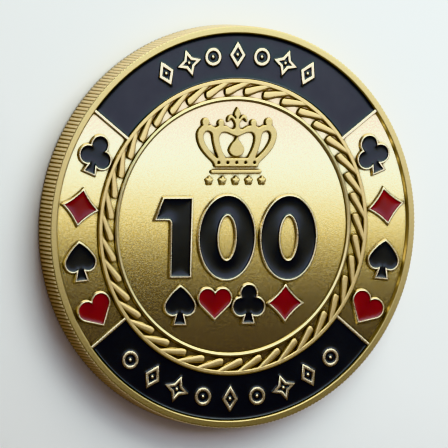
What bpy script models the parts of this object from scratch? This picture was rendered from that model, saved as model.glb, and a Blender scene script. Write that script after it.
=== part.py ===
"""Dealer button: a die-struck, gold-plated coin with soft enamel in its cells.

Frame, in metres: +Z points out of the obverse, +Y to the top of the design, and the origin is the
centre of the lower (reverse) rim face. Both faces carry the same design; the reverse is the obverse
turned half a turn about the upright axis Y. Outlines are worked out in millimetres on one face.
"""
from math import acos, asin, atan2, cos, degrees, hypot, pi, radians, sin, sqrt

import bmesh
import bpy
from mathutils import Matrix

MM = 0.001

# Driving dimensions of the coin, in millimetres
COIN_RADIUS = 20.0
COIN_THICKNESS = 3.0
RIM_INNER_RADIUS = 19.15
RIM_SLOPE = 0.15
EDGE_CHAMFER = 0.12
REED_COUNT = 150
REED_DEPTH = 0.2
FIELD_DROP = 0.35
RELIEF_DROP = 0.05
RELIEF_ROOT = 0.2

# Enamel
CELL_GAP = 0.03
ENAMEL_DROP = 0.14
WALL = 0.2

# Rope ring between the centre field and the outer bands
ROPE_OUTER_RADIUS = 14.75
ROPE_SLOT_RADIUS = 14.3
ROPE_STRANDS = 40
ROPE_PHASE = 3.6
WIRE_OUTER_RADIUS = 12.98
WIRE_INNER_RADIUS = 12.5

# Enamelled bands, in degrees either side of the top or the bottom
TOP_BAND_HALF_ANGLE = 52.6
BOTTOM_BAND_HALF_ANGLE = 51.6
BAND_INNER_RADIUS = 14.82
BAND_OUTER_RADIUS = 19.08
BAND_END_GAP = 0.05
BAR_WIDTH = 0.35
BAR_OVERLAP = 0.02
BAR_ROOT = 0.2
BAR_DROP = 0.01
ORNAMENT_RADIUS = 17.1
TOP_ORNAMENT_ANGLES = [-27 + 9 * k for k in range(7)]
BOTTOM_ORNAMENT_ANGLES = [-40 + 10 * k for k in range(9)]

# Numerals: centres and half sizes
ZERO_CENTRES = {"first_zero": (-0.72, -1.05), "second_zero": (6.05, -1.1)}
ZERO_HALF_WIDTH = 3.0
ZERO_HALF_HEIGHT = 4.12
COUNTER_HALF_WIDTH = 1.08
COUNTER_HALF_HEIGHT = 2.34

# Suits: name, centre and turn to the left in degrees. The flanks mirror each other.
CENTRE_SUITS = {
    "spade": (-5.7, -7.86, 0),
    "heart": (-1.89, -7.06, 0),
    "club": (1.82, -7.5, 0),
    "diamond": (5.84, -7.62, 0),
}
RIGHT_SUITS = {
    "club": (15.1, 7.37, 22),
    "diamond": (16.75, 2.03, 9.5),
    "spade": (16.62, -3.44, -6),
    "heart": (15.06, -7.81, -31),
}

# Generic ornaments in the enamelled bands: half sizes, and the star's points and notches
LOZENGE = (0.9, 1.36)
DISC_RADIUS = 0.93
BAND_STAR = (1.4, 0.66)

# Row of small stars under the crown
CROWN_STARS_X = (-2.9, -1.45, 0, 1.45, 2.9)
CROWN_STARS_Y = 4.6
CROWN_STAR = (0.5, 0.34)

CIRCLE_STEPS = 60
GOLD = (0.83, 0.66, 0.30, 1)
BLACK = (0.012, 0.012, 0.018, 1)
RED = (0.42, 0.005, 0.02, 1)
GOLD_ROUGHNESS = 0.32
ENAMEL_ROUGHNESS = 0.12

HALF = COIN_THICKNESS / 2
FIELD_Z = HALF - FIELD_DROP
RELIEF_Z = HALF - RELIEF_DROP


# ---------------------------------------------------------------- outlines

def arc(centre, radius, start, stop, steps):
    """Points on an arc from start to stop, in degrees."""
    points = []
    for k in range(steps + 1):
        a = radians(start + (stop - start) * k / steps)
        points.append((centre[0] + radius * cos(a), centre[1] + radius * sin(a)))
    return points


def circle(radius, steps=CIRCLE_STEPS):
    return arc((0, 0), radius, 0, 360, steps)[:-1]


def polar(angle, radius):
    """A point at an angle in degrees clockwise from the top of the design."""
    a = radians(angle)
    return (radius * sin(a), radius * cos(a))


def ellipse(centre, half_width, half_height, grow, steps):
    """An ellipse moved outwards along its normals by grow."""
    points = []
    for k in range(steps):
        a = 2 * pi * k / steps
        nx = half_height * cos(a)
        ny = half_width * sin(a)
        scale = grow / hypot(nx, ny)
        points.append((centre[0] + half_width * cos(a) + nx * scale,
                       centre[1] + half_height * sin(a) + ny * scale))
    return points


def mirrored(half):
    """Closes a right-hand half, listed from the bottom up, with its mirror image."""
    left = [(-x, y) for x, y in reversed(half) if x > 1e-9]
    return half + left


def placed(points, centre_x, centre_y, turn):
    c = cos(radians(turn))
    s = sin(radians(turn))
    return [(centre_x + x * c - y * s, centre_y + x * s + y * c) for x, y in points]


def stem_side(grow, foot_y, foot_half, top_half, top_y):
    """The flared right side of a stem: its foot corner, and its line as a point and a unit direction."""
    rise = top_y - foot_y
    run = top_half - foot_half
    length = hypot(run, rise)
    direction = (run / length, rise / length)
    normal = (direction[1], -direction[0])
    point = (foot_half + normal[0] * grow, foot_y + normal[1] * grow)
    low = foot_y - grow
    along = (low - point[1]) / direction[1]
    corner = (point[0] + direction[0] * along, low)
    return corner, point, direction


def line_meets_circle(point, direction, centre, radius):
    """The first crossing of a line with a circle."""
    dx = point[0] - centre[0]
    dy = point[1] - centre[1]
    b = dx * direction[0] + dy * direction[1]
    c = dx * dx + dy * dy - radius * radius
    along = -b - sqrt(b * b - c)
    return (point[0] + direction[0] * along, point[1] + direction[1] * along)


def angle_on(centre, point):
    return degrees(atan2(point[1] - centre[1], point[0] - centre[0]))


def heart(grow):
    lobe = 0.889
    offset = 0.841
    tip_drop = 1.99
    side = degrees(asin(lobe / hypot(offset, tip_drop))) + degrees(atan2(offset, tip_drop))
    tip = (0, -tip_drop - grow / sin(radians(side)))
    lobe += grow
    top = degrees(acos(-offset / lobe))
    half = [tip] + arc((offset, 0), lobe, -side, top, 4)
    half[-1] = (0, half[-1][1])
    return mirrored(half)


def spade(grow):
    lobe = 0.8
    offset = 0.79
    tip_rise = 1.93
    contact = radians(30)
    reach = (offset ** 2 + tip_rise ** 2 - lobe ** 2) / (
        2 * (lobe + offset * cos(contact) - tip_rise * sin(contact)))
    side_centre = (offset - reach * cos(contact), -reach * sin(contact))
    side_radius = reach + lobe + grow
    tip_y = side_centre[1] + sqrt(side_radius ** 2 - side_centre[0] ** 2)
    tip_angle = angle_on(side_centre, (0, tip_y))
    corner, point, direction = stem_side(grow, -1.71, 0.57, 0.26, -0.6)
    crotch = line_meets_circle(point, direction, (offset, 0), lobe + grow)
    start = angle_on((offset, 0), crotch)
    half = [corner] + arc((offset, 0), lobe + grow, start, 30, 4)
    half += arc(side_centre, side_radius, 30, tip_angle, 2)[1:]
    half[-1] = (0, half[-1][1])
    return mirrored(half)


def club(grow):
    lobe = 0.84 + grow
    side = (0.84, -0.43)
    top = (0, 0.87)
    corner, point, direction = stem_side(grow, -2.0, 0.56, 0.16, -0.7)
    crotch = line_meets_circle(point, direction, side, lobe)
    half_gap = hypot(side[0] - top[0], side[1] - top[1]) / 2
    lean = degrees(acos(half_gap / lobe))
    towards_top = angle_on(side, top)
    half = [corner] + arc(side, lobe, angle_on(side, crotch), towards_top - lean, 4)
    half += arc(top, lobe, towards_top - 180 + lean, 90, 3)[1:]
    half[-1] = (0, half[-1][1])
    return mirrored(half)


def diamond(grow):
    """Four sides that bow inwards, as arcs about points outside the diamond."""
    half_width = 1.72
    half_height = 1.64
    bow = 0.1
    chord = hypot(half_width, half_height)
    radius = (chord ** 2 / 4 + bow ** 2) / (2 * bow)
    out = radius - bow
    centre = (half_width / 2 + out * half_height / chord, half_height / 2 + out * half_width / chord)
    radius -= grow
    right = (centre[0] - sqrt(radius ** 2 - centre[1] ** 2), 0)
    top = (0, centre[1] - sqrt(radius ** 2 - centre[0] ** 2))
    side = arc(centre, radius, angle_on(centre, right), angle_on(centre, top), 2)
    upper = [right] + side[1:-1] + [top]
    lower = [(x, -y) for x, y in reversed(upper)]
    return mirrored(lower + upper[1:])


SUITS = {"spade": spade, "heart": heart, "club": club, "diamond": diamond}


def numeral_one(grow):
    """A slab one with a flag that leans to the left, its inner corner rounded."""
    fillet = 0.45 - grow
    stem_left = -6.75 - grow
    stem_right = -4.7 + grow
    top = 2.82 + grow
    foot = -4.85 - grow
    flag_y = 0.86 - grow
    lean = atan2(1.96, 0.8)
    flag_x = -8.48 - grow * (1 + cos(lean)) / sin(lean)
    top_x = -7.68 - grow * (1 - cos(lean)) / sin(lean)
    corner = arc((stem_left - fillet, flag_y - fillet), fillet, 90, 0, 3)
    outside = [(stem_right, foot), (stem_right, top), (top_x, top), (flag_x, flag_y)]
    return outside + corner + [(stem_left, foot)]


def band(inner, outer, half_angle, centre_angle, end_gap):
    """A sector of a ring whose straight ends stand end_gap back from the radii at half_angle."""
    steps = 15
    loop = []
    for radius, sign in ((outer, 1), (inner, -1)):
        reach = half_angle - degrees(asin(end_gap / radius))
        for k in range(steps + 1):
            loop.append(polar(centre_angle + sign * reach * (2 * k / steps - 1), radius))
    return loop


def rope_loop():
    """The slotted inner boundary of the rope ring: one slanting, round-ended strand after another."""
    strand = [(6.8, ROPE_SLOT_RADIUS), (0.4, 13.77), (0.1, 13.25), (1.9, 13.08), (10.5, 14.04)]
    pitch = 360 / ROPE_STRANDS
    return [polar(ROPE_PHASE + pitch * k + a, r) for k in range(ROPE_STRANDS) for a, r in strand]


def crown_loops():
    """A plain arched crown: base bar, body with pearls and a lily finial, three windows and a drop."""
    base = [(-2.6, 5.42), (2.6, 5.42), (2.68, 5.78), (-2.68, 5.78)]
    side = [(2.4, 5.98), (2.85, 6.6), (3.8, 7.5), (4.35, 8.5), (4.4, 9.35)]
    outer_pearl = arc((3.45, 10.5), 0.42, -25, 205, 4)
    inner_pearl = arc((1.72, 10.4), 0.38, -20, 200, 4)
    finial = [(0.75, 9.85), (0.3, 10.3), (0.85, 10.6), (0.85, 10.95), (0.35, 11.0), (0.4, 11.5), (0, 11.9)]
    body = mirrored(side + outer_pearl + [(2.5, 10.02)] + inner_pearl + finial)
    centre_window = mirrored([(1.2, 6.85), (1.75, 7.8), (1.95, 8.9), (1.7, 9.33), (0.9, 9.4), (0, 9.15)])
    right_window = [(2.1, 6.95), (3.2, 8.0), (3.72, 9.0), (3.4, 9.64), (2.85, 9.58), (2.6, 9.2), (2.5, 8.2)]
    left_window = [(-x, y) for x, y in reversed(right_window)]
    drop = mirrored([(0, 7.05), (0.45, 7.15), (0.85, 7.75), (0.6, 8.45), (0, 9.0)])
    return [base, body, centre_window, right_window, left_window, drop]


def star(points, tip, notch):
    """A star about the origin with its first tip at the top."""
    return [polar(180 * k / points, tip if k % 2 == 0 else notch) for k in range(2 * points)]


def ornament(kind, grow):
    """Generic band ornaments: a lozenge, a disc and a four-pointed star, in turn."""
    if kind == 0:
        slant = hypot(*LOZENGE)
        width = LOZENGE[0] + grow * slant / LOZENGE[1]
        height = LOZENGE[1] + grow * slant / LOZENGE[0]
        return [(width, 0), (0, height), (-width, 0), (0, -height)]
    if kind == 1:
        return circle(DISC_RADIUS + grow, 8)
    tip, notch = BAND_STAR
    return star(4, tip + 2 * grow, notch + grow)


def band_ornaments(angles, up, grow):
    """The ornaments of one band; up is 0 for the top band and 180 for the bottom one."""
    loops = []
    middle = len(angles) // 2
    for k, angle in enumerate(angles):
        kind = abs(k - middle) % 3
        x, y = polar(up + angle, ORNAMENT_RADIUS)
        loops.append(placed(ornament(kind, grow), x, y, -(up + angle)))
    return loops


# ---------------------------------------------------------------- modelling helpers

def clear_scene():
    for obj in list(bpy.data.objects):
        bpy.data.objects.remove(obj, do_unlink=True)


def new_collection(name):
    collection = bpy.data.collections.new(name)
    bpy.context.scene.collection.children.link(collection)
    return collection


def new_material(name, colour, roughness, metallic):
    material = bpy.data.materials.new(name)
    material.use_nodes = True
    shader = material.node_tree.nodes["Principled BSDF"]
    shader.inputs["Base Color"].default_value = colour
    shader.inputs["Roughness"].default_value = roughness
    shader.inputs["Metallic"].default_value = metallic
    material.diffuse_color = colour
    return material


def extruded(name, loops, low, high, collection):
    """A flat outline with holes, as a filled 2D curve from height low to height high."""
    curve = bpy.data.curves.new(name, "CURVE")
    curve.dimensions = "2D"
    curve.fill_mode = "BOTH"
    curve.extrude = (high - low) / 2 * MM
    for loop in loops:
        spline = curve.splines.new("POLY")
        spline.points.add(len(loop) - 1)
        for point, (x, y) in zip(spline.points, loop):
            point.co = (x * MM, y * MM, 0, 1)
        spline.use_cyclic_u = True
    obj = bpy.data.objects.new(name, curve)
    obj.location.z = (low + high) / 2 * MM
    collection.objects.link(obj)
    return obj


def turn_to_reverse(obj):
    """Half a turn about the upright axis through the middle of the coin."""
    obj.matrix_world = Matrix.Rotation(pi, 4, "Y") @ Matrix.Translation((0, 0, obj.location.z))


def as_mesh(obj):
    """Replaces a curve object with the welded mesh that it makes."""
    bpy.context.view_layer.update()
    name = obj.name
    evaluated = obj.evaluated_get(bpy.context.evaluated_depsgraph_get())
    mesh = bpy.data.meshes.new_from_object(evaluated)
    weld = bmesh.new()
    weld.from_mesh(mesh)
    bmesh.ops.remove_doubles(weld, verts=weld.verts, dist=1e-6)
    bmesh.ops.recalc_face_normals(weld, faces=weld.faces)
    weld.to_mesh(mesh)
    weld.free()
    solid = bpy.data.objects.new(name + "_solid", mesh)
    solid.matrix_world = obj.matrix_world
    obj.users_collection[0].objects.link(solid)
    bpy.data.objects.remove(obj, do_unlink=True)
    return solid


def as_guide(obj):
    obj.hide_render = True
    obj.display_type = "WIRE"


def add_union(target, operand):
    modifier = target.modifiers.new("join " + operand.name, "BOOLEAN")
    modifier.operation = "UNION"
    modifier.solver = "EXACT"
    modifier.object = operand


# ---------------------------------------------------------------- the coin

def turned_blank(collection):
    """The coin without its reeds and relief, turned from one profile."""
    groove = COIN_RADIUS - REED_DEPTH
    upper = [(0, FIELD_Z), (RIM_INNER_RADIUS, FIELD_Z), (RIM_INNER_RADIUS + RIM_SLOPE, HALF),
             (groove - EDGE_CHAMFER, HALF), (groove, HALF - EDGE_CHAMFER)]
    profile = upper + [(x, -z) for x, z in reversed(upper)]
    mesh = bpy.data.meshes.new("coin_body")
    vertices = [(x * MM, 0, z * MM) for x, z in profile]
    mesh.from_pydata(vertices, [(k, k + 1) for k in range(len(profile) - 1)], [])
    obj = bpy.data.objects.new("coin_body", mesh)
    collection.objects.link(obj)
    screw = obj.modifiers.new("turn", "SCREW")
    screw.axis = "Z"
    screw.angle = 2 * pi
    screw.steps = CIRCLE_STEPS
    screw.render_steps = CIRCLE_STEPS
    screw.use_merge_vertices = True
    screw.merge_threshold = 1e-6
    flat = obj.modifiers.new("one face on each flat", "DECIMATE")
    flat.decimate_type = "DISSOLVE"
    flat.angle_limit = radians(0.5)
    return obj


def reed_ring(collection):
    """The reeded band of the edge, below the chamfers of the rim."""
    groove = COIN_RADIUS - REED_DEPTH
    outline = star(REED_COUNT, COIN_RADIUS, groove)
    root = circle(RIM_INNER_RADIUS + 2 * RIM_SLOPE)
    shoulder = HALF - EDGE_CHAMFER
    return extruded("reeds", [outline, root], -shoulder, shoulder, collection)


def relief_loops():
    """Every raised outline of one face that stands clear of the others, and the holes in them."""
    loops = [circle(ROPE_OUTER_RADIUS), rope_loop(), circle(WIRE_OUTER_RADIUS), circle(WIRE_INNER_RADIUS)]
    loops += crown_loops()
    loops += [placed(star(5, *CROWN_STAR), x, CROWN_STARS_Y, 0) for x in CROWN_STARS_X]
    loops += band_ornaments(TOP_ORNAMENT_ANGLES, 0, 0)
    loops += band_ornaments(BOTTOM_ORNAMENT_ANGLES, 180, 0)
    for cell_loops in cells().values():
        loops += cell_loops(0) + cell_loops(WALL)
    return loops


def cells():
    """The walled cells of one face: for each fill, a function of how far its loops are grown."""
    table = {"one": lambda grow: [numeral_one(grow)]}
    for name, centre in ZERO_CENTRES.items():
        table[name] = zero_loops(centre)
    for suit, place in CENTRE_SUITS.items():
        table["centre_" + suit] = suit_loops(suit, place, 1)
    for suit, place in RIGHT_SUITS.items():
        table["right_" + suit] = suit_loops(suit, place, 1)
        table["left_" + suit] = suit_loops(suit, place, -1)
    return table


def zero_loops(centre):
    def loops(grow):
        return [ellipse(centre, ZERO_HALF_WIDTH, ZERO_HALF_HEIGHT, grow, 24),
                ellipse(centre, COUNTER_HALF_WIDTH, COUNTER_HALF_HEIGHT, -grow, 14)]
    return loops


def suit_loops(suit, place, side):
    def loops(grow):
        x, y, turn = place
        return [placed(SUITS[suit](grow), side * x, y, side * turn)]
    return loops


def end_bars(collection):
    """Four radial bars that close the ends of the enamelled bands."""
    bars = []
    for centre_angle, half_angle in ((0, TOP_BAND_HALF_ANGLE), (180, BOTTOM_BAND_HALF_ANGLE)):
        for side in (-1, 1):
            low = ROPE_OUTER_RADIUS - BAR_ROOT
            high = RIM_INNER_RADIUS + RIM_SLOPE + BAR_ROOT / 2
            near = -BAR_OVERLAP
            bar = [(near, low), (near + BAR_WIDTH, low), (near + BAR_WIDTH, high), (near, high)]
            angle = centre_angle + side * half_angle
            bars.append(placed([(side * x, y) for x, y in bar], 0, 0, -angle))
    return extruded("end_bars", bars, FIELD_Z - RELIEF_ROOT, RELIEF_Z - BAR_DROP, collection)


def coin_body(parts, cutters, gold):
    body = turned_blank(parts)
    body.data.materials.append(gold)
    joined = [reed_ring(cutters)]
    for reverse in (False, True):
        relief = extruded("relief", relief_loops(), FIELD_Z - RELIEF_ROOT, RELIEF_Z, cutters)
        bars = end_bars(cutters)
        for obj in (relief, bars):
            if reverse:
                turn_to_reverse(obj)
            joined.append(obj)
    for obj in joined:
        solid = as_mesh(obj)
        as_guide(solid)
        add_union(body, solid)
    return body


def enamel_fills(parts, black, red):
    """One body of enamel in each cell, on both faces."""
    fills = {name: loops(-CELL_GAP) for name, loops in cells().items()}
    for name, half_angle, centre_angle, angles in (
            ("top_band", TOP_BAND_HALF_ANGLE, 0, TOP_ORNAMENT_ANGLES),
            ("bottom_band", BOTTOM_BAND_HALF_ANGLE, 180, BOTTOM_ORNAMENT_ANGLES)):
        outline = band(BAND_INNER_RADIUS, BAND_OUTER_RADIUS, half_angle, centre_angle, BAND_END_GAP)
        fills[name] = [outline] + band_ornaments(angles, centre_angle, CELL_GAP)
    made = []
    for face in ("obverse", "reverse"):
        for name, loops in fills.items():
            fill = extruded(f"{face}_{name}_enamel", loops, FIELD_Z + CELL_GAP, HALF - ENAMEL_DROP, parts)
            is_red = name.endswith("heart") or name.endswith("diamond")
            fill.data.materials.append(red if is_red else black)
            if face == "reverse":
                turn_to_reverse(fill)
            made.append(fill)
    return made


def main():
    clear_scene()
    parts = new_collection("dealer_button")
    cutters = new_collection("joined shapes")
    gold = new_material("satin gold plate", GOLD, GOLD_ROUGHNESS, 1.0)
    black = new_material("black enamel", BLACK, ENAMEL_ROUGHNESS, 0.0)
    red = new_material("red enamel", RED, ENAMEL_ROUGHNESS, 0.0)
    body = coin_body(parts, cutters, gold)
    fills = enamel_fills(parts, black, red)
    lift = bpy.data.objects.new("dealer_button_frame", None)
    parts.objects.link(lift)
    lift.location.z = HALF * MM
    bpy.context.view_layer.update()
    for obj in [body] + fills + list(cutters.objects):
        obj.parent = lift


main()
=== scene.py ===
"""The looks of the dealer button: fine struck relief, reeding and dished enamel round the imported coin.

Face outlines are worked out in millimetres, in a face frame: X to the right, Y to the top of the
design, and height 0 at the middle of the coin's thickness. The reverse carries the same design,
turned half a turn about the upright axis.
"""

from math import acos, asin, atan2, ceil, cos, degrees, hypot, pi, radians, sin, sqrt

import bmesh
import bpy
import numpy as np
from mathutils import Matrix, Vector
from mathutils.geometry import delaunay_2d_cdt
from mathutils.kdtree import KDTree


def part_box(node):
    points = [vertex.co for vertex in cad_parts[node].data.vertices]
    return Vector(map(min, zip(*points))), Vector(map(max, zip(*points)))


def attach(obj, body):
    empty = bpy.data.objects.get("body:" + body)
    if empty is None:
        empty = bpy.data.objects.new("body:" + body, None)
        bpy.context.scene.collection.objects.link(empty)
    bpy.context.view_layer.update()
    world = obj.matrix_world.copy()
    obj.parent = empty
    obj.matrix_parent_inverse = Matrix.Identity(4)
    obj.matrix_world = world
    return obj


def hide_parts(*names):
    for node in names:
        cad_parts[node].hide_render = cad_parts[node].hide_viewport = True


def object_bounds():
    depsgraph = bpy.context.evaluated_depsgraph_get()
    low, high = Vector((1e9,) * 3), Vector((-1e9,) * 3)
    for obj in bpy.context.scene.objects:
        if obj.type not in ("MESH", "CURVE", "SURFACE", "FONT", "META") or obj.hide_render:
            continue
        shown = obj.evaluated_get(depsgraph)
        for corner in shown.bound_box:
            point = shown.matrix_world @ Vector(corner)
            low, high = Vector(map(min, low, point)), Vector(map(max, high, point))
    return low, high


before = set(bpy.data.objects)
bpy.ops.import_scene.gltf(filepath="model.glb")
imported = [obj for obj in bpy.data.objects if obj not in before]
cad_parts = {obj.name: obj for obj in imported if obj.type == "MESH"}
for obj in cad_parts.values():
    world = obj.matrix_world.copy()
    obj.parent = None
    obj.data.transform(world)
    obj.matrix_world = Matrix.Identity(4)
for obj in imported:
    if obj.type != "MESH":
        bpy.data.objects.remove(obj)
cad_box = [list(corner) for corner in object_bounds()]

MM = 0.001

# Sizes read from the frame, in millimetres; HALF is half the coin's thickness
COIN_RADIUS = cad_box[1][1] / MM
HALF = (cad_box[1][2] - cad_box[0][2]) / 2 / MM
ENAMEL_RIM_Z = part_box("obverse_top_band_enamel")[1][2] / MM - HALF

# Heights: the field, the top of the relief, and how deep in the blank every relief is rooted
FIELD_Z = HALF - 0.35
RELIEF_Z = HALF - 0.05
RELIEF_HEIGHT = 0.3
ROOT_Z = FIELD_Z - 0.1

# The coin's own sizes, as in the design
RIM_INNER = 19.15
RIM_SLOPE = 0.15
REED_COUNT = 300
REED_DEPTH = 0.18
ROPE_OUTER = 14.75
ROPE_SLOT = 14.3
ROPE_STRANDS = 40
ROPE_PHASE = 3.6
WIRE_OUTER = 12.98
WIRE_INNER = 12.5
BAND_INNER = 14.79
BAND_OUTER = 19.13
BAR_WIDTH = 0.35
BAR_HEIGHT = 0.29
ORNAMENT_RADIUS = 17.1
ORNAMENT_HALF_WIDTH = 0.18
PELLET_RADIUS = 0.22

# Steps round the coin in its plain turned shapes, and how far neighbouring shapes reach into each other
ROUND_STEPS = 360
OVERLAP = 0.1

# Each enamelled band: its half angle, the angle of its middle, and its ornaments' angles from there
BANDS = {
    "top_band": (52.6, 0, [-27 + 9 * k for k in range(7)]),
    "bottom_band": (51.6, 180, [-40 + 10 * k for k in range(9)]),
}
ORNAMENT_KINDS = ("lozenge", "ring", "star")

# The crown and its stars are struck a little to the right of the middle
CREST_OFFSET = 0.14

# The numerals: centres of the zeros, and half width and half height of a zero and of its hole
ZERO_CENTRES = {"first_zero": (-0.72, -1.05), "second_zero": (6.05, -1.1)}
ZERO_OUTSIDE = (3.0, 4.12)
ZERO_HOLE = (1.08, 2.34)

# Place of each suit and its turn to the left; the left flank mirrors the right one
CENTRE_SUITS = {
    "spade": (-5.7, -7.86, 0),
    "heart": (-1.89, -7.06, 0),
    "club": (1.82, -7.5, 0),
    "diamond": (5.84, -7.62, 0),
}
RIGHT_SUITS = {
    "club": (15.1, 7.37, 22),
    "diamond": (16.75, 2.03, 9.5),
    "spade": (16.62, -3.44, -6),
    "heart": (15.06, -7.81, -31),
}

# Cross-section of a cell wall: how far outside the enamel's edge, and the height above the field
WALL_SECTION = [(-0.03, -0.1), (-0.03, 0.1), (-0.005, 0.22), (0.03, 0.282), (0.08, 0.3), (0.135, 0.288),
                (0.18, 0.24), (0.215, 0.13), (0.24, 0.03), (0.27, -0.01), (0.27, -0.1)]

# Enamel: how far its edge is grown to meet a wall, how far it reaches under an ornament, how far it
# climbs above the CAD fill at its edge, and its underside
ENAMEL_GROWTH = -0.005
ORNAMENT_TUCK = 0.03
ENAMEL_CLIMB = 0.03
ENAMEL_FLOOR_Z = FIELD_Z - 0.05

# Enamel surface points: rows beside the edges, and a grid that keeps clear of them
ENAMEL_EDGE_ROWS = (0.025, 0.06, 0.11, 0.18)
ENAMEL_GRID = 0.16
ENAMEL_GRID_CLEARANCE = 0.25

# How deep the enamel sinks and over what distance: the steep meniscus at each wall, and the broad dish
MENISCUS = (0.05, 0.06)
NUMERAL_DISH = (0.08, 0.55)
SUIT_DISH = (0.03, 0.3)
BAND_DISH = (0.03, 0.5)

# Rounded edge of the flat-topped relief: how far in from the outline, and the height above the field
PLATE_EDGE = [(0, 0.2), (0.025, 0.262), (0.06, 0.29), (0.1, 0.3)]
PLATE_SUPPORT = 0.13

# The longest that a mitred corner may reach, as a multiple of the offset
MITRE_LIMIT = 1.8

# Painted shade in the corners of the relief: how far the occlusion looks, in millimetres, and the shade's
# colour
PAINTED_SHADE_REACH = 0.5
PAINTED_SHADE_COLOUR = (0.075, 0.037, 0.008)

# The noise textures stay mostly between these two values
NOISE_LOW = 0.38
NOISE_HIGH = 0.62

# Studio, in metres and degrees. The world is pale up to WALL_TOP and dim from CEILING_START, which are
# sines of the height above the horizon. A row of ceiling cards over the coin's right side gives the
# field its shading; each card has its front, its back and its colour. The cards' colours are not
# chosen by hand: a least-squares fit outside this script matched them to the photo's shading.
FLOOR_REACH = 3.0
FLOOR_TONE = (0.97, 0.91, 0.87)
FLOOR_GLOW = 0.03
STUDIO_WALLS = (0.34, 0.32, 0.28)
STUDIO_CEILING = (0.07, 0.052, 0.063)
WALL_TOP = 0.26
CEILING_START = 0.5
CEILING_CARDS = [
    (-0.009, -0.003, (1.36, 1.09, 0.25)),
    (-0.003, 0.003, (1.87, 2.56, 3.54)),
    (0.003, 0.009, (2.03, 1.70, 2.16)),
    (0.009, 0.016, (2.29, 2.40, 3.02)),
    (0.016, 0.106, (1.60, 2.24, 2.47)),
]
CARD_X = 0.062
CARD_Z = 0.100
CARD_WIDTH = 0.17
CARD_TURN = -2.5
BACK_CARD_PLACE = (0.07, 0.17, 0.13)
BACK_CARD_SIZE = (0.24, 0.14)
BACK_CARD_STRENGTH = 4.1
BACK_CARD_COLOUR = (0.93, 1.0, 0.93)

# Camera: the coin is turned by COIN_TURN about an axis that leans by AXIS_LEAN from the upright,
# and the design then leans by DESIGN_LEAN. AIM_OFFSET is in millimetres across the picture. The turn,
# the lean of the axis and the distance are fitted to the photo's rim and rope circles.
COIN_TURN = 25.56
AXIS_LEAN = -8.54
DESIGN_LEAN = 0.5
AIM_OFFSET = (-1.022, 0.318)
CAMERA_DISTANCE = 0.96753
FOCAL_LENGTH = 784
SENSOR_WIDTH = 36


# ---------------------------------------------------------------- outlines

def arc(centre, radius, start, stop, steps):
    """Points on an arc from start to stop, in degrees."""
    points = []
    for k in range(steps + 1):
        a = radians(start + (stop - start) * k / steps)
        points.append((centre[0] + radius * cos(a), centre[1] + radius * sin(a)))
    return points


def circle(centre, radius, steps):
    return arc(centre, radius, 0, 360, steps)[:-1]


def polar(angle, radius):
    """A point at an angle in degrees clockwise from the top of the design."""
    a = radians(angle)
    return (radius * sin(a), radius * cos(a))


def ellipse(centre, half_width, half_height, grow, steps):
    """An ellipse moved outwards along its normals by grow."""
    points = []
    for k in range(steps):
        a = 2 * pi * k / steps
        nx = half_height * cos(a)
        ny = half_width * sin(a)
        scale = grow / hypot(nx, ny)
        points.append((centre[0] + half_width * cos(a) + nx * scale,
                       centre[1] + half_height * sin(a) + ny * scale))
    return points


def mirrored(half):
    """Closes a right-hand half, listed from the bottom up, with its mirror image."""
    return half + [(-x, y) for x, y in reversed(half) if x > 1e-9]


def placed(points, centre_x, centre_y, turn):
    """The points turned to the left by turn degrees, and then moved."""
    c = cos(radians(turn))
    s = sin(radians(turn))
    return [(centre_x + x * c - y * s, centre_y + x * s + y * c) for x, y in points]


def smooth(points, steps, closed=False):
    """A Catmull-Rom curve through the points."""
    count = len(points)
    made = []
    for k in range(count if closed else count - 1):
        if closed:
            p = [points[(k + j) % count] for j in (-1, 0, 1, 2)]
        else:
            p = [points[min(max(k + j, 0), count - 1)] for j in (-1, 0, 1, 2)]
        for s in range(steps):
            t = s / steps
            weights = (-t ** 3 + 2 * t * t - t, 3 * t ** 3 - 5 * t * t + 2,
                       -3 * t ** 3 + 4 * t * t + t, t ** 3 - t * t)
            made.append(tuple(sum(w * q[i] for w, q in zip(weights, p)) / 2 for i in (0, 1)))
    return made if closed else made + [points[-1]]


def angle_on(centre, point):
    """The direction from a centre to a point, in degrees."""
    return degrees(atan2(point[1] - centre[1], point[0] - centre[0]))


def stem_side(grow, foot_y, foot_half, top_half, top_y):
    """The flared right side of a stem: its foot corner, and its line as a point and a unit direction."""
    rise = top_y - foot_y
    run = top_half - foot_half
    length = hypot(run, rise)
    direction = (run / length, rise / length)
    point = (foot_half + direction[1] * grow, foot_y - direction[0] * grow)
    low = foot_y - grow
    along = (low - point[1]) / direction[1]
    corner = (point[0] + direction[0] * along, low)
    return corner, point, direction


def line_meets_circle(point, direction, centre, radius):
    """The first crossing of a line with a circle."""
    dx = point[0] - centre[0]
    dy = point[1] - centre[1]
    b = dx * direction[0] + dy * direction[1]
    c = dx * dx + dy * dy - radius * radius
    along = -b - sqrt(b * b - c)
    return (point[0] + direction[0] * along, point[1] + direction[1] * along)


def heart(grow):
    """Two round lobes, and straight sides that touch them and meet at the tip."""
    lobe = 0.889
    offset = 0.841
    tip_drop = 1.99
    side = degrees(asin(lobe / hypot(offset, tip_drop))) + degrees(atan2(offset, tip_drop))
    tip = (0, -tip_drop - grow / sin(radians(side)))
    lobe += grow
    top = degrees(acos(-offset / lobe))
    half = [tip] + arc((offset, 0), lobe, -side, top, 22)
    half[-1] = (0, half[-1][1])
    return mirrored(half)


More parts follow.
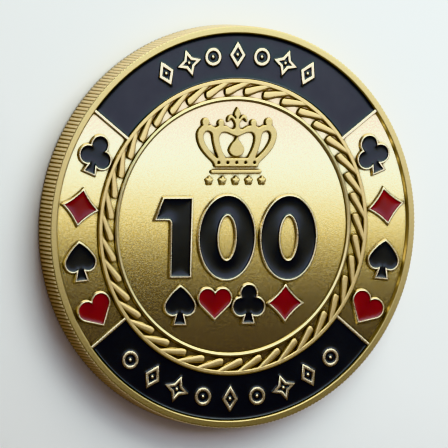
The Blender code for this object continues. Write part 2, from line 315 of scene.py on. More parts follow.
def spade(grow):
    """Round lobes on a flared stem; each runs into a long side arc where its edge faces the contact angle."""
    lobe = 0.8
    offset = 0.79
    tip_rise = 1.93
    contact = 30
    c = cos(radians(contact))
    s = sin(radians(contact))
    reach = (offset ** 2 + tip_rise ** 2 - lobe ** 2) / (2 * (lobe + offset * c - tip_rise * s))
    side_centre = (offset - reach * c, -reach * s)
    side_radius = reach + lobe + grow
    tip_y = side_centre[1] + sqrt(side_radius ** 2 - side_centre[0] ** 2)
    corner, point, direction = stem_side(grow, foot_y=-1.71, foot_half=0.57, top_half=0.26, top_y=-0.6)
    crotch = line_meets_circle(point, direction, (offset, 0), lobe + grow)
    half = [corner] + arc((offset, 0), lobe + grow, angle_on((offset, 0), crotch), contact, 20)
    half += arc(side_centre, side_radius, contact, angle_on(side_centre, (0, tip_y)), 8)[1:]
    half[-1] = (0, half[-1][1])
    return mirrored(half)


def club(grow):
    """Three round lobes on a flared stem."""
    lobe = 0.84 + grow
    side = (0.84, -0.43)
    top = (0, 0.87)
    corner, point, direction = stem_side(grow, foot_y=-2.0, foot_half=0.56, top_half=0.16, top_y=-0.7)
    crotch = line_meets_circle(point, direction, side, lobe)
    lean = degrees(acos(hypot(side[0] - top[0], side[1] - top[1]) / 2 / lobe))
    towards_top = angle_on(side, top)
    half = [corner] + arc(side, lobe, angle_on(side, crotch), towards_top - lean, 22)
    half += arc(top, lobe, towards_top - 180 + lean, 90, 12)[1:]
    half[-1] = (0, half[-1][1])
    return mirrored(half)


def diamond(grow):
    """Four sides that bow inwards, as arcs about points outside the diamond."""
    half_width = 1.72
    half_height = 1.64
    bow = 0.1
    chord = hypot(half_width, half_height)
    radius = (chord ** 2 / 4 + bow ** 2) / (2 * bow)
    out = radius - bow
    centre = (half_width / 2 + out * half_height / chord, half_height / 2 + out * half_width / chord)
    radius -= grow
    right = (centre[0] - sqrt(radius ** 2 - centre[1] ** 2), 0)
    top = (0, centre[1] - sqrt(radius ** 2 - centre[0] ** 2))
    side = arc(centre, radius, angle_on(centre, right), angle_on(centre, top), 8)
    upper = [right] + side[1:-1] + [top]
    lower = [(x, -y) for x, y in reversed(upper)]
    return mirrored(lower + upper[1:])


SUITS = {"spade": spade, "heart": heart, "club": club, "diamond": diamond}


def numeral_one(grow):
    """A slab one with a flag, its inner corner rounded."""
    fillet = 0.45 - grow
    stem_left = -6.75 - grow
    stem_right = -4.7 + grow
    top = 2.82 + grow
    foot = -4.85 - grow
    flag_y = 0.86 - grow
    flag_rise = 1.96
    flag_run = 0.8
    lean = atan2(flag_rise, flag_run)
    flag_x = -8.48 - grow * (1 + cos(lean)) / sin(lean)
    top_x = -7.68 - grow * (1 - cos(lean)) / sin(lean)
    outside = [(stem_right, foot), (stem_right, top), (top_x, top), (flag_x, flag_y)]
    inner_corner = arc((stem_left - fillet, flag_y - fillet), fillet, 90, 0, 8)
    return outside + inner_corner + [(stem_left, foot)]


def zero_loops(centre):
    return lambda grow: [ellipse(centre, *ZERO_OUTSIDE, grow, 96), ellipse(centre, *ZERO_HOLE, -grow, 64)]


def suit_loops(suit, place, side):
    x, y, turn = place
    return lambda grow: [placed(SUITS[suit](grow), side * x, y, side * turn)]


def cells():
    """The walled cells of one face: for each fill, a function of how far its loops are grown."""
    table = {"one": lambda grow: [numeral_one(grow)]}
    for name, centre in ZERO_CENTRES.items():
        table[name] = zero_loops(centre)
    for suit, place in CENTRE_SUITS.items():
        table["centre_" + suit] = suit_loops(suit, place, 1)
    for suit, place in RIGHT_SUITS.items():
        table["right_" + suit] = suit_loops(suit, place, 1)
        table["left_" + suit] = suit_loops(suit, place, -1)
    return table


def band_loop(half_angle, middle):
    """The edge of an enamelled band: a sector of a ring, half_angle to each side of its middle."""
    steps = 110
    loop = []
    for radius, sign in ((BAND_OUTER, 1), (BAND_INNER, -1)):
        for k in range(steps + 1):
            loop.append(polar(middle + sign * (-half_angle + 2 * half_angle * k / steps), radius))
    return loop


# ---------------------------------------------------------------- mesh building

class Mesh:
    """Vertices in millimetres and faces, gathered from several closed shapes."""

    def __init__(self):
        self.vertices = []
        self.faces = []

    def add(self, vertices, faces):
        base = len(self.vertices)
        self.vertices += [tuple(v) for v in vertices]
        self.faces += [tuple(i + base for i in face) for face in faces]

    def rings(self, rings, close=True, caps=False):
        """Quads between rings of equal length. close joins the last ring to the first."""
        count = len(rings[0])
        faces = []
        for r in range(len(rings) if close else len(rings) - 1):
            low = r * count
            high = (r + 1) % len(rings) * count
            for k in range(count):
                n = (k + 1) % count
                faces.append((low + k, low + n, high + n, high + k))
        if caps:
            faces.append(tuple(reversed(range(count))))
            faces.append(tuple(range((len(rings) - 1) * count, len(rings) * count)))
        self.add([p for ring in rings for p in ring], faces)

    def data(self, name, sharp_angle=35):
        """A mesh in metres, with its faces pointing out and its edges smooth below sharp_angle."""
        mesh = bpy.data.meshes.new(name)
        mesh.from_pydata([(x * MM, y * MM, z * MM) for x, y, z in self.vertices], [], self.faces)
        work = bmesh.new()
        work.from_mesh(mesh)
        return written(work, mesh, sharp_angle)


def written(work, mesh, sharp_angle):
    """Writes the working mesh back, with its faces pointing out and its edges smooth below sharp_angle."""
    bmesh.ops.recalc_face_normals(work, faces=work.faces)
    work.to_mesh(mesh)
    work.free()
    mesh.shade_smooth()
    mesh.set_sharp_from_angle(angle=radians(sharp_angle))
    return mesh


def welded(mesh):
    """Joins the vertices that lie in one place, so that the shape is one closed body."""
    reach = 2e-7
    work = bmesh.new()
    work.from_mesh(mesh)
    bmesh.ops.remove_doubles(work, verts=work.verts, dist=reach)
    return written(work, mesh, sharp_angle=60)


def turned(mesh, profile, steps, wave=None):
    """Turns a closed profile of (radius, height); wave(step, station) changes a point's radius."""
    rings = []
    for k in range(steps):
        a = 2 * pi * k / steps
        ring = []
        for station, (r, z) in enumerate(profile):
            reach = r + (wave(k, station) if wave else 0)
            ring.append((reach * sin(a), reach * cos(a), z))
        rings.append(ring)
    mesh.rings(rings)


def mitre(along, side):
    """How much further a corner reaches than its offset, for unit directions through it and along a side."""
    return 1 / max(along.dot(side), 1 / MITRE_LIMIT)


def rib(mesh, path, half_width, height, closed=False):
    """A rounded rib of the given half width and height along a flat path."""
    count = len(path)
    half_section = [(-1.1, -0.1), (-1.0, 0.15), (-0.94, 0.6), (-0.84, 0.85), (-0.68, 0.96), (-0.45, 1.0),
                    (-0.25, 1.0)]
    section = half_section + [(-s, h) for s, h in reversed(half_section)]
    rings = []
    for k, (x, y) in enumerate(path):
        before = path[(k - 1) % count] if closed or k > 0 else path[0]
        after = path[(k + 1) % count] if closed or k < count - 1 else path[-1]
        d1 = Vector((x - before[0], y - before[1]))
        d2 = Vector((after[0] - x, after[1] - y))
        d1 = d1.normalized() if d1.length > 1e-9 else d2.normalized()
        d2 = d2.normalized() if d2.length > 1e-9 else d1
        along = (d1 + d2).normalized()
        nx = -along.y * half_width * mitre(along, d1)
        ny = along.x * half_width * mitre(along, d1)
        levels = [FIELD_Z + h * height if h > 0 else ROOT_Z for s, h in section]
        rings.append([(x + nx * s, y + ny * s, z) for (s, h), z in zip(section, levels)])
    mesh.rings(rings, close=closed, caps=not closed)


def dome(mesh, centre, outline, height):
    """A low dome over an outline that is given about the centre."""
    steps = [(1.08, -0.3), (1.0, 0.1), (0.95, 0.42), (0.82, 0.7), (0.6, 0.89), (0.32, 0.98), (0.04, 1.0)]
    rings = []
    for scale, rise in steps:
        z = FIELD_Z + height * rise if rise > 0 else ROOT_Z
        rings.append([(centre[0] + x * scale, centre[1] + y * scale, z) for x, y in outline])
    mesh.rings(rings, close=False, caps=True)


def inside(points, loops):
    """Which points lie inside the loops, counting nested loops as holes."""
    flags = np.zeros(len(points), bool)
    px, py = points[:, 0], points[:, 1]
    for loop in loops:
        a = np.array(loop)
        b = np.roll(a, -1, axis=0)
        for (x1, y1), (x2, y2) in zip(a, b):
            if y1 == y2:
                continue
            crosses = ((y1 > py) != (y2 > py)) & (px < (x2 - x1) * (py - y1) / (y2 - y1) + x1)
            flags ^= crosses
    return flags


def side_distance(points, start, stop):
    """How far each point is from its own straight side."""
    step = stop - start
    shortest = 1e-12
    t = ((points - start) * step).sum(axis=1) / np.maximum((step * step).sum(axis=1), shortest)
    return np.linalg.norm(points - start - np.clip(t, 0, 1)[:, None] * step, axis=1)


def edge_distance(points, loops):
    """How far each point is from the nearest of the loops, whose points are closely spaced."""
    corners = [(loop[k - 1], p, loop[(k + 1) % len(loop)]) for loop in loops for k, p in enumerate(loop)]
    tree = KDTree(len(corners))
    for k, (before, corner, after) in enumerate(corners):
        tree.insert((*corner, 0), k)
    tree.balance()
    nearest = [tree.find((*p, 0))[1] for p in points]
    before, corner, after = np.array(corners)[nearest].transpose(1, 0, 2)
    return np.minimum(side_distance(points, before, corner), side_distance(points, corner, after))


def filled(loops, extra):
    """Triangles inside the loops, through the extra points too."""
    vertices = []
    edges = []
    for loop in loops:
        base = len(vertices)
        vertices += loop
        edges += [(base + k, base + (k + 1) % len(loop)) for k in range(len(loop))]
    vertices += [tuple(p) for p in extra]
    inside_only = 1
    tolerance = 1e-7
    out = delaunay_2d_cdt([Vector(v) for v in vertices], edges, [], inside_only, tolerance)
    points = np.array([tuple(v) for v in out[0]])
    triangles = [tuple(f) for f in out[2]]
    middles = np.array([points[list(f)].mean(axis=0) for f in triangles])
    kept = inside(middles, loops)
    return [tuple(p) for p in points], [f for f, keep in zip(triangles, kept) if keep]


def dense(loop, spacing=0.12):
    """The loop with points added so that no side is longer than the spacing."""
    made = []
    for a, b in zip(loop, loop[1:] + loop[:1]):
        pieces = max(1, ceil(hypot(b[0] - a[0], b[1] - a[1]) / spacing))
        for k in range(pieces):
            made.append((a[0] + (b[0] - a[0]) * k / pieces, a[1] + (b[1] - a[1]) * k / pieces))
    return made


def beside(loops, amounts):
    """Points inside the loops, at each of the amounts from their edges."""
    rows = []
    for amount in amounts:
        for loop in loops:
            a = np.array(loop)
            along = np.roll(a, -1, axis=0) - np.roll(a, 1, axis=0)
            along /= np.linalg.norm(along, axis=1)[:, None]
            normal = np.column_stack([-along[:, 1], along[:, 0]]) * amount
            both = np.vstack([a + normal, a - normal])
            both = both[inside(both, loops)]
            rows.append(both[edge_distance(both, loops) > 0.9 * amount])
    return np.vstack(rows)


def soft_distance(points, loops):
    """A distance to the loops that has no creases: true near an edge, and shorter where edges face.

    It comes from the integral of 1 / r^4 along the sides, which is pi / (2 d^3) for an endless line
    at the distance d.
    """
    closest = 1e-3
    total = np.zeros(len(points))
    for loop in loops:
        a = np.array(loop)
        for p, q in zip(a, np.roll(a, -1, axis=0)):
            length = np.linalg.norm(q - p)
            along = (q - p) / length
            start = (points - p) @ along
            away = np.maximum(np.abs((points - p) @ np.array([-along[1], along[0]])), closest)
            for s, sign in ((start, 1), (start - length, -1)):
                near = s / (2 * away ** 2 * (away ** 2 + s ** 2))
                total += sign * (near + np.arctan(s / away) / (2 * away ** 3))
    return (total * 2 / pi) ** (-1 / 3)


def capped(mesh, loops, extra, height_at, floor):
    """A closed solid inside the loops: its top follows height_at, and its underside is flat."""
    top, triangles = filled(loops, extra)
    mesh.add([(x, y, z) for (x, y), z in zip(top, height_at(np.array(top)))], triangles)
    bottom, under = filled(loops, [])
    mesh.add([(x, y, floor) for x, y in bottom], [tuple(reversed(face)) for face in under])
    for loop in loops:
        low = [(x, y, floor) for x, y in loop]
        high = [(x, y, z) for (x, y), z in zip(loop, height_at(np.array(loop)))]
        mesh.rings([low, high], close=False)


def plate(mesh, loops):
    """A flat-topped relief with rounded edges."""
    loops = [dense(loop) for loop in loops]
    extra = beside(loops, [amount for amount, _ in PLATE_EDGE[1:]] + [PLATE_SUPPORT])

    def height_at(points):
        return FIELD_Z + np.interp(edge_distance(points, loops), *zip(*PLATE_EDGE))

    capped(mesh, loops, extra, height_at, ROOT_Z)


def enamel(name, loops, dish):
    """A fill of enamel: it climbs the walls of its cell in a meniscus and is dished between them."""
    loops = [dense(loop) for loop in loops]
    spread = np.array([p for loop in loops for p in loop])
    low = spread.min(axis=0)
    high = spread.max(axis=0)
    rows = np.arange(low[1], high[1], ENAMEL_GRID * sqrt(3) / 2)
    columns = np.arange(low[0], high[0], ENAMEL_GRID)
    grid = np.array([(x + (r % 2) * ENAMEL_GRID / 2, y) for r, y in enumerate(rows) for x in columns])
    grid = grid[inside(grid, loops)]
    grid = grid[edge_distance(grid, loops) > ENAMEL_GRID_CLEARANCE]
    on_the_edge = 0.005

    def height_at(points):
        close = edge_distance(points, loops)
        broad = np.where(close < on_the_edge, 0, soft_distance(points, loops))
        sunk = MENISCUS[0] * (1 - np.exp(-close / MENISCUS[1])) + dish[0] * (1 - np.exp(-broad / dish[1]))
        return ENAMEL_RIM_Z + ENAMEL_CLIMB - sunk

    mesh = Mesh()
    extra = np.vstack([grid, beside(loops, ENAMEL_EDGE_ROWS)])
    capped(mesh, loops, extra, height_at, ENAMEL_FLOOR_Z)
    return welded(mesh.data(name))


# ---------------------------------------------------------------- the metal

def blank():
    """The coin's body between the two fields, up to the foot of the rims."""
    mesh = Mesh()
    profile = [(r, FIELD_Z) for r in (4.0, 11.0, RIM_INNER + OVERLAP)]
    profile += [(r, -z) for r, z in reversed(profile)]
    rings = [[polar(-360 * k / ROUND_STEPS, r) + (z,) for k in range(ROUND_STEPS)] for r, z in profile]
    mesh.rings(rings, close=False, caps=True)
    return mesh.data("blank", sharp_angle=28)


def reeded_edge():
    """Both rims and the reeded wall: rounded reeds with narrow grooves that fade out at the rims."""
    # Depth of the wall across one reed, as a share of REED_DEPTH
    groove = [0.0, 0.0, 0.1, 0.6, 1.0, 0.6, 0.1, 0.0]
    drop = HALF - FIELD_Z
    inner = RIM_INNER - COIN_RADIUS
    # Radius from the wall, height from the coin's face, and share of the groove's depth there
    upper = [(inner - 0.2, -drop - 0.3, 0), (inner - 0.08, -drop - 0.02, 0), (inner - 0.01, -drop + 0.015, 0),
             (inner + 0.02, -drop + 0.06, 0), (inner + RIM_SLOPE - 0.03, -0.07, 0),
             (inner + RIM_SLOPE + 0.01, -0.02, 0), (inner + RIM_SLOPE + 0.06, 0, 0),
             (inner + RIM_SLOPE + 0.09, 0, 0), (-0.16, 0, 0), (-0.13, 0, 0),
             (-0.08, -0.007, 0.1), (-0.035, -0.032, 0.45), (0, -0.1, 1), (0, -0.6, 1)]
    stations = upper + [(r, -2 * HALF - z, w) for r, z, w in reversed(upper)]
    profile = [(COIN_RADIUS + r, HALF + z) for r, z, w in stations]
    weights = [w for r, z, w in stations]
    samples = len(groove)
    mesh = Mesh()
    turned(mesh, profile, REED_COUNT * samples, lambda k, s: -REED_DEPTH * groove[k % samples] * weights[s])
    return mesh.data("reeded_edge", sharp_angle=50)


def rope():
    """The rope ring: an outer band, and slanting round-ended strands that grow out of it."""
    mesh = Mesh()
    top = RELIEF_Z
    band = [(ROPE_OUTER + 0.05, ROOT_Z), (ROPE_OUTER + 0.03, FIELD_Z + 0.02), (ROPE_OUTER - 0.01, top - 0.06),
            (ROPE_OUTER - 0.05, top - 0.015), (ROPE_OUTER - 0.1, top), (ROPE_OUTER - 0.13, top),
            (ROPE_SLOT + 0.12, top), (ROPE_SLOT + 0.09, top), (ROPE_SLOT + 0.04, top - 0.015),
            (ROPE_SLOT, top - 0.06), (ROPE_SLOT - 0.03, FIELD_Z + 0.03), (ROPE_SLOT - 0.05, ROOT_Z)]
    turned(mesh, band, ROUND_STEPS)
    for k in range(ROPE_STRANDS):
        strand(mesh, ROPE_PHASE + 360 / ROPE_STRANDS * k)
    return mesh.data("rope", sharp_angle=40)


def strand(mesh, phase):
    """One strand, lofted from its round end to where it runs into the outer band."""
    # Its inner and outer sides, as angles from the phase and radii
    lower = smooth([(0.0, 13.34), (0.12, 13.18), (0.6, 13.09), (1.9, 13.09), (3.9, 13.27), (6.6, 13.6),
                    (9.2, 13.92), (11.2, 14.24), (12.6, 14.36)], 3)
    upper = smooth([(0.0, 13.52), (0.1, 13.69), (0.5, 13.82), (1.4, 13.89), (2.6, 13.98), (4.0, 14.09),
                    (5.4, 14.2), (6.6, 14.29), (7.6, 14.36)], 3)
    # Place from the inner side to the outer one, and share of the full height there
    section = [(-0.11, -0.4), (-0.09, 0), (-0.01, 0.45), (0.04, 0.7), (0.11, 0.88), (0.21, 0.98), (0.28, 1),
               (0.72, 1), (0.79, 0.98), (0.89, 0.88), (0.96, 0.7), (1.01, 0.45), (1.09, 0), (1.11, -0.4)]
    nose_rise = [0.4, 0.78, 0.93, 0.98]
    rings = []
    for k, (low, high) in enumerate(zip(lower, upper)):
        full = nose_rise[k] if k < len(nose_rise) else 1
        ring = []
        for t, rise in section:
            angle = low[0] + (high[0] - low[0]) * t
            radius = low[1] + (high[1] - low[1]) * t
            z = ROOT_Z if rise < 0 else FIELD_Z + RELIEF_HEIGHT * rise * full
            ring.append((*polar(phase + angle, radius), z))
        rings.append(ring)
    mesh.rings(rings, close=False, caps=True)


def wire():
    """The fine ring inside the rope, with a roof-shaped section that catches the light on one side."""
    mesh = Mesh()
    middle = (WIRE_OUTER + WIRE_INNER) / 2
    reach = (WIRE_OUTER - WIRE_INNER) / 2
    # Share of half the width, and height above the field
    slope = [(1.1, -0.1), (1.0, 0.02), (0.93, 0.13), (0.8, 0.19), (0.4, 0.223), (0.08, 0.25), (0, 0.254)]
    profile = [(-s, rise) for s, rise in slope] + [(s, rise) for s, rise in reversed(slope[:-1])]
    turned(mesh, [(middle + s * reach, FIELD_Z + rise) for s, rise in profile], ROUND_STEPS)
    return mesh.data("wire", sharp_angle=40)


def walls():
    """The rounded walls round every cell, and the bars that close the enamelled bands."""
    mesh = Mesh()
    for family in cells().values():
        levels = [family(grow) for grow, height in WALL_SECTION]
        for index in range(len(levels[0])):
            mesh.rings([[(x, y, FIELD_Z + height) for x, y in level[index]]
                        for level, (grow, height) in zip(levels, WALL_SECTION)])
    steps = 23
    low = ROPE_OUTER - OVERLAP
    high = RIM_INNER + OVERLAP
    for half_angle, middle, _ in BANDS.values():
        for side in (-1, 1):
            path = [(side * BAR_WIDTH / 2, low + (high - low) * k / steps) for k in range(steps + 1)]
            rib(mesh, placed(path, 0, 0, -(middle + side * half_angle)), BAR_WIDTH / 2, BAR_HEIGHT)
    return mesh.data("walls", sharp_angle=40)


def shifted(loop):
    """The loop moved to where the crown is struck."""
    return [(x + CREST_OFFSET, y) for x, y in loop]


def crown():
    """A plain arched crown: base, jewelled band, arches with pearls, a lily finial and a drop."""
    mesh = Mesh()
    end = arc((2.62, 5.5), 0.19, -90, 90, 8)
    plate(mesh, [shifted(mirrored(end))])
    side = smooth([(2.62, 6.5), (3.42, 7.2), (4.08, 8.05), (4.38, 9.0), (4.27, 9.62), (3.87, 10.06)], 4)
    outer_pearl = arc((3.47, 10.42), 0.43, -42, 222, 14)
    valley = smooth([(3.15, 10.13), (2.85, 10.12), (2.55, 9.96), (2.3, 9.92), (2.06, 10.12)], 3)
    inner_pearl = arc((1.78, 10.34), 0.36, -38, 218, 13)
    shoulder = smooth([(1.5, 10.1), (1.08, 10.02), (0.66, 9.76), (0.36, 9.76), (0.22, 10.0)], 3)
    leaf = smooth([(0.26, 10.3), (0.48, 10.66), (0.72, 10.78), (0.84, 10.6), (1.0, 10.42), (1.13, 10.62),
                   (1.02, 10.98), (0.74, 11.14), (0.44, 11.02), (0.2, 10.76)], 3)
    petal = smooth([(0.2, 10.94), (0.36, 11.16), (0.27, 11.5), (0, 11.94)], 4)
    foot = [(2.38, 5.98), (2.45, 6.26)]
    body = mirrored(foot + side + outer_pearl + valley + inner_pearl + shoulder + leaf + petal)
    centre_window = mirrored(smooth([(1.2, 6.86), (1.66, 7.7), (1.93, 8.6), (1.87, 9.14), (1.55, 9.4),
                                     (1.05, 9.36), (0.5, 9.14), (0, 8.98)], 4))
    right_window = smooth([(2.08, 6.86), (2.93, 7.57), (3.5, 8.38), (3.68, 9.04), (3.46, 9.47), (3.08, 9.5),
                           (2.76, 9.24), (2.62, 8.5), (2.36, 7.62)], 4, closed=True)
    left_window = [(-x, y) for x, y in reversed(right_window)]
    dimples = [circle((0.98 * k, 6.4), 0.13, 14) for k in range(-2, 3)]
    plate(mesh, [shifted(loop) for loop in [body, centre_window, right_window, left_window] + dimples])
    drop = mirrored(smooth([(0, 6.98), (0.5, 7.12), (0.86, 7.6), (0.62, 8.18), (0.22, 8.62), (0, 9.0)], 5))
    plate(mesh, [shifted(drop)])
    return welded(mesh.data("crown"))


def stars():
    """Five small stars under the crown, worn round."""
    mesh = Mesh()
    steps = 40
    radius = 0.45
    point = 0.07
    spacing = 1.45
    outline = []
    for k in range(steps):
        angle = 360 * k / steps
        outline.append(polar(-angle, radius + point * cos(radians(5 * angle))))
    for k in range(-2, 3):
        dome(mesh, (spacing * k + CREST_OFFSET, 4.6), outline, 0.29)
    return mesh.data("stars", sharp_angle=60)


def ornament_path(kind):
    """The centre line of a generic band ornament."""
    if kind == "lozenge":
        return [(0.68, 0), (0, 1.03), (-0.68, 0), (0, -1.03)]
    if kind == "ring":
        return [polar(-15 * k, 0.74) for k in range(24)]
    return [polar(-45 * k, 1.08 if k % 2 == 0 else 0.48) for k in range(8)]


def offset_path(path, amount):
    """A closed path moved to its left by amount, its corners kept."""
    made = []
    for k, (x, y) in enumerate(path):
        d1 = (Vector(path[k]) - Vector(path[k - 1])).normalized()
        d2 = (Vector(path[(k + 1) % len(path)]) - Vector(path[k])).normalized()
        along = (d1 + d2).normalized()
        reach = amount * mitre(along, d1)
        made.append((x - along.y * reach, y + along.x * reach))
    return made


def ornament_places(middle, angles):
    """Where the ornaments of one band stand: kind, centre and turn to the left."""
    places = []
    for k, angle in enumerate(angles):
        kind = ORNAMENT_KINDS[abs(k - len(angles) // 2) % len(ORNAMENT_KINDS)]
        places.append((kind, polar(middle + angle, ORNAMENT_RADIUS), -(middle + angle)))
    return places


def ornament_loops(middle, angles):
    """Where one band's enamel ends at its ornaments, outside and inside them, and at their pellets."""
    loops = []
    reach = ORNAMENT_HALF_WIDTH - ORNAMENT_TUCK
    for kind, (x, y), turn in ornament_places(middle, angles):
        path = placed(ornament_path(kind), x, y, turn)
        loops += [offset_path(path, -reach), offset_path(path, reach)]
        loops.append(circle((x, y), PELLET_RADIUS - ORNAMENT_TUCK, 16))
    return loops


def ornaments():
    """Raised line ornaments that stand in the enamelled bands, each round a small pellet."""
    mesh = Mesh()
    pellet = circle((0, 0), PELLET_RADIUS, 16)
    for _, middle, angles in BANDS.values():
        for kind, centre, turn in ornament_places(middle, angles):
            path = placed(ornament_path(kind), *centre, turn)
            rib(mesh, path, ORNAMENT_HALF_WIDTH, RELIEF_HEIGHT, closed=True)
            dome(mesh, centre, pellet, 0.28)
    return mesh.data("ornaments", sharp_angle=40)


# ---------------------------------------------------------------- materials

def nodes_of(name):
    """A new material, its node tree and its shader."""
    material = bpy.data.materials.new(name)
    material.use_nodes = True
    tree = material.node_tree
    return material, tree, tree.nodes["Principled BSDF"]


def add_node(tree, kind, **settings):
    """A new node, each setting of which goes to the input of that name or else to the property."""
    node = tree.nodes.new(kind)
    for key, value in settings.items():
        if key in node.inputs:
            node.inputs[key].default_value = value
        else:
            setattr(node, key, value)
    return node


def noise(tree, scale, detail=2.0, roughness=0.5):
    """A noise value, scale to the metre."""
    coordinates = add_node(tree, "ShaderNodeTexCoord")
    made = add_node(tree, "ShaderNodeTexNoise", Scale=scale, Detail=detail, Roughness=roughness)
    tree.links.new(coordinates.outputs["Object"], made.inputs["Vector"])
    return made.outputs["Fac"]


def ramp(tree, source, stops):
    """A colour that follows the source value through the stops."""
    made = add_node(tree, "ShaderNodeValToRGB")
    elements = made.color_ramp.elements
    while len(elements) < len(stops):
        elements.new(0.5)
    for element, (position, colour) in zip(elements, stops):
        element.position = position
        element.color = (*colour, 1)
    tree.links.new(source, made.inputs["Fac"])
    return made.outputs["Color"]


def stretched(tree, source, low, high, made_low=0.0, made_high=1.0):
    """A value that runs from made_low to made_high while the source runs from low to high."""
    made = add_node(tree, "ShaderNodeMapRange")
    limits = {"From Min": low, "From Max": high, "To Min": made_low, "To Max": made_high}
    for key, value in limits.items():
        made.inputs[key].default_value = value
    tree.links.new(source, made.inputs["Value"])
    return made.outputs["Result"]


def press(tree, shader, source, depth):
    """Presses the source's pattern into the surface, to a depth in millimetres."""
    bump = add_node(tree, "ShaderNodeBump", Strength=1.0, Distance=depth * MM)
    tree.links.new(source, bump.inputs["Height"])
    tree.links.new(bump.outputs["Normal"], shader.inputs["Normal"])


def varied(tone, share):
    """A darker and a lighter tone."""
    return [tuple(min(1, c * factor) for c in tone) for factor in (1 - share, 1 + share)]


def metal(name, tone, roughness, grain_scale=6000, grain_depth=0.002, speckle_scale=6000, spread=0.06,
          corner=(0.58, 0.84), unevenness=0.02):
    """Gold plate: speckled in tone and roughness, finely grained, and darkened in the corners of the relief
    by painted shade.

    corner gives the openness at which the painted corner shade is full, and at which it ends.
    """
    material, tree, shader = nodes_of(name)
    shader.inputs["Metallic"].default_value = 1.0
    speckle = noise(tree, speckle_scale, roughness=0.6)
    dark, light = varied(tone, spread)
    colours = ramp(tree, speckle, [(NOISE_LOW, dark), (NOISE_HIGH, light)])
    # Painted shade: where nearby surfaces hem a point in, its base colour is darkened towards the shade
    # colour
    corners = add_node(tree, "ShaderNodeAmbientOcclusion", samples=8, Distance=PAINTED_SHADE_REACH * MM)
    openness = stretched(tree, corners.outputs["AO"], *corner)
    painted_shade_mix = add_node(tree, "ShaderNodeMix", data_type="RGBA")
    first_colour = painted_shade_mix.inputs[6]
    second_colour = painted_shade_mix.inputs[7]
    mixed_colour = painted_shade_mix.outputs[2]
    first_colour.default_value = (*PAINTED_SHADE_COLOUR, 1)
    tree.links.new(openness, painted_shade_mix.inputs["Factor"])
    tree.links.new(colours, second_colour)
    tree.links.new(mixed_colour, shader.inputs["Base Color"])
    values = stretched(tree, speckle, NOISE_LOW, NOISE_HIGH, roughness - unevenness, roughness + unevenness)
    tree.links.new(values, shader.inputs["Roughness"])
    press(tree, shader, noise(tree, grain_scale, roughness=0.6), grain_depth)
    return material


def enamel_material(name, tone):
    """Glossy soft enamel with a faint waviness and slightly uneven colour."""
    roughness = 0.2
    unevenness = 0.03
    material, tree, shader = nodes_of(name)
    shader.inputs["Specular IOR Level"].default_value = 0.42
    dark, light = varied(tone, 0.15)
    colours = ramp(tree, noise(tree, 500), [(0.3, dark), (0.7, light)])
    tree.links.new(colours, shader.inputs["Base Color"])
    values = stretched(tree, noise(tree, 1500), 0, 1, roughness - unevenness, roughness + unevenness)
    tree.links.new(values, shader.inputs["Roughness"])
    press(tree, shader, noise(tree, 700, detail=1), 0.006)
    return material


# ---------------------------------------------------------------- the pieces

def piece(name, mesh, material, stands_for, reverse=False):
    """Puts a mesh in the scene on one face of the coin and ties it to the frame."""
    obj = bpy.data.objects.new(name, mesh)
    bpy.context.scene.collection.objects.link(obj)
    if not mesh.materials:
        mesh.materials.append(material)
    obj.location.z = HALF * MM
    if reverse:
        obj.rotation_euler.y = pi
    bpy.context.view_layer.update()
    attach(obj, "root")
    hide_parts(stands_for)
    return obj


def make_metal():
    """The struck metal: the blank and the edge, and the relief of both faces."""
    # All of these are one gold plate; their tones are made lighter or darker piece by piece as painted light
    # and shade for how brightly each part is lit
    field = metal("sandblasted gold", tone=(0.744, 0.651, 0.372), roughness=0.15, unevenness=0.019,
                  grain_scale=9500, grain_depth=0.0025, speckle_scale=5200, spread=0.09)
    raised = metal("satin gold relief", tone=(0.66, 0.482, 0.22), roughness=0.37)
    # The crown and stars carry painted shade further out from their corners than the other relief
    small = metal("satin gold crown", tone=(0.63, 0.47, 0.21), roughness=0.45, corner=(0.58, 0.9))
    crest = metal("polished gold walls", tone=(0.82, 0.68, 0.44), roughness=0.28)
    bright = metal("bright gold wire", tone=(0.64, 0.50, 0.25), roughness=0.32)
    rim = metal("satin gold rim", tone=(0.524, 0.398, 0.173), roughness=0.33)
    # The reeds' corner setting lets painted shade darken them in their grooves and where the wall meets the
    # floor
    reeds = metal("gold reeding", tone=(0.84, 0.66, 0.35), roughness=0.2, corner=(0.05, 0.85))
    edge = reeded_edge()
    edge.materials.append(rim)
    edge.materials.append(reeds)
    reeds_from = (COIN_RADIUS - 0.15) * MM
    reeds_up_to = (HALF - 0.005) * MM
    for face in edge.polygons:
        x, y, z = face.center
        if hypot(x, y) > reeds_from and abs(z) < reeds_up_to:
            face.material_index = 1
    piece("struck_blank", blank(), field, "coin_body")
    piece("reeded_edge", edge, rim, "coin_body")
    for name, mesh, material in (("rope_ring", rope(), raised), ("inner_wire", wire(), bright),
                                 ("cell_walls", walls(), crest),
                                 ("crown", crown(), small), ("stars", stars(), small),
                                 ("band_ornaments", ornaments(), crest)):
        for reverse in (False, True):
            face = "reverse" if reverse else "obverse"
            piece(f"{face}_{name}", mesh, material, "coin_body", reverse)


def make_enamel():
    """The enamel fills of both faces."""
    black = enamel_material("black soft enamel", (0.016, 0.015, 0.016))
    red = enamel_material("red soft enamel", (0.20, 0.004, 0.006))
    fills = {}
    for name, family in cells().items():
        dish = NUMERAL_DISH if name == "one" or name in ZERO_CENTRES else SUIT_DISH
        fills[name] = enamel(name, family(ENAMEL_GROWTH), dish)
    for name, (half_angle, middle, angles) in BANDS.items():
        loops = [band_loop(half_angle, middle)] + ornament_loops(middle, angles)
        fills[name] = enamel(name, loops, BAND_DISH)
    for name, mesh in fills.items():
        is_red = name.endswith(("heart", "diamond"))
        material = red if is_red else black
        for face in ("obverse", "reverse"):
            piece(f"{face}_{name}", mesh, material, f"{face}_{name}_enamel", face == "reverse")


# ---------------------------------------------------------------- floor, light and camera

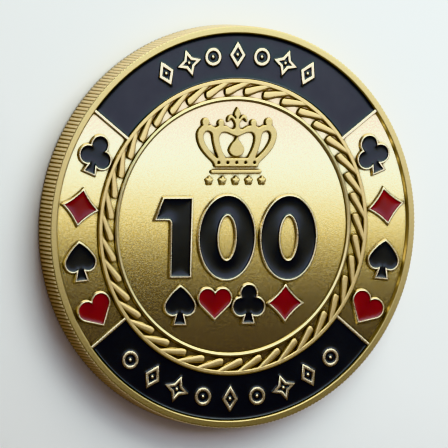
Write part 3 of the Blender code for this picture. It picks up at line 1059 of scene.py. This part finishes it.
def make_floor():
    mesh = bpy.data.meshes.new("floor")
    corners = [(x * FLOOR_REACH, y * FLOOR_REACH, 0) for x, y in ((-1, -1), (1, -1), (1, 1), (-1, 1))]
    mesh.from_pydata(corners, [], [(0, 1, 2, 3)])
    floor = bpy.data.objects.new("floor", mesh)
    bpy.context.scene.collection.objects.link(floor)
    material, _, shader = nodes_of("pale floor")
    shader.inputs["Base Color"].default_value = (*FLOOR_TONE, 1)
    shader.inputs["Roughness"].default_value = 0.9
    shader.inputs["Emission Color"].default_value = (1, 1, 1, 1)
    shader.inputs["Emission Strength"].default_value = FLOOR_GLOW
    mesh.materials.append(material)


def area_light(name, place, width, height, strength, colour):
    """A soft rectangular light that faces down; strength is the brightness of its face."""
    data = bpy.data.lights.new(name, "AREA")
    data.shape = "RECTANGLE"
    data.size = width
    data.size_y = height
    data.energy = strength * width * height * pi
    data.color = colour
    light = bpy.data.objects.new(name, data)
    light.location = place
    light.visible_camera = False
    bpy.context.scene.collection.objects.link(light)
    return light


def swung(obj):
    """Turns a light or the camera about the coin's axis, so that the design leans a little to the right."""
    bpy.context.view_layer.update()
    obj.matrix_world = Matrix.Rotation(radians(DESIGN_LEAN), 4, "Z") @ obj.matrix_world


def make_lights():
    """The pale studio, the row of ceiling cards and the card at the back."""
    world = bpy.data.worlds.new("studio")
    world.use_nodes = True
    tree = world.node_tree
    direction = add_node(tree, "ShaderNodeTexCoord")
    split = add_node(tree, "ShaderNodeSeparateXYZ")
    tree.links.new(direction.outputs["Generated"], split.inputs["Vector"])
    studio = ramp(tree, split.outputs["Z"], [(WALL_TOP, STUDIO_WALLS), (CEILING_START, STUDIO_CEILING)])
    tree.links.new(studio, tree.nodes["Background"].inputs["Color"])
    bpy.context.scene.world = world
    for front, back, colour in CEILING_CARDS:
        place = (CARD_X, (front + back) / 2, CARD_Z)
        card = area_light("ceiling card", place, CARD_WIDTH, back - front, 1, colour)
        card.rotation_euler.z = radians(CARD_TURN)
        swung(card)
    card = area_light("back card", BACK_CARD_PLACE, *BACK_CARD_SIZE, BACK_CARD_STRENGTH, BACK_CARD_COLOUR)
    card.rotation_mode = "QUATERNION"
    card.rotation_quaternion = (-Vector(BACK_CARD_PLACE)).to_track_quat("-Z", "Y")
    swung(card)


def make_camera():
    """A long lens that sees the coin turned about 26 degrees to its left, with the design nearly upright."""
    lean = radians(AXIS_LEAN)
    axis = Vector((-sin(lean), cos(lean), 0))
    camera_axes = Matrix.Rotation(radians(COIN_TURN), 3, axis).transposed()
    back = camera_axes @ Vector((0, 0, 1))
    offset = camera_axes @ Vector((AIM_OFFSET[0] * MM, AIM_OFFSET[1] * MM, 0))
    data = bpy.data.cameras.new("camera")
    data.sensor_width = SENSOR_WIDTH
    data.lens = FOCAL_LENGTH
    data.clip_start = 0.05
    data.clip_end = 10
    camera = bpy.data.objects.new("camera", data)
    bpy.context.scene.collection.objects.link(camera)
    target = Vector((0, 0, 2 * HALF * MM)) + offset
    camera.matrix_world = Matrix.Translation(target + back * CAMERA_DISTANCE) @ camera_axes.to_4x4()
    swung(camera)
    bpy.context.scene.camera = camera


make_camera()
make_metal()
make_enamel()
make_floor()
make_lights()
bpy.context.scene.view_settings.view_transform = "Khronos PBR Neutral"

bpy.context.view_layer.update()
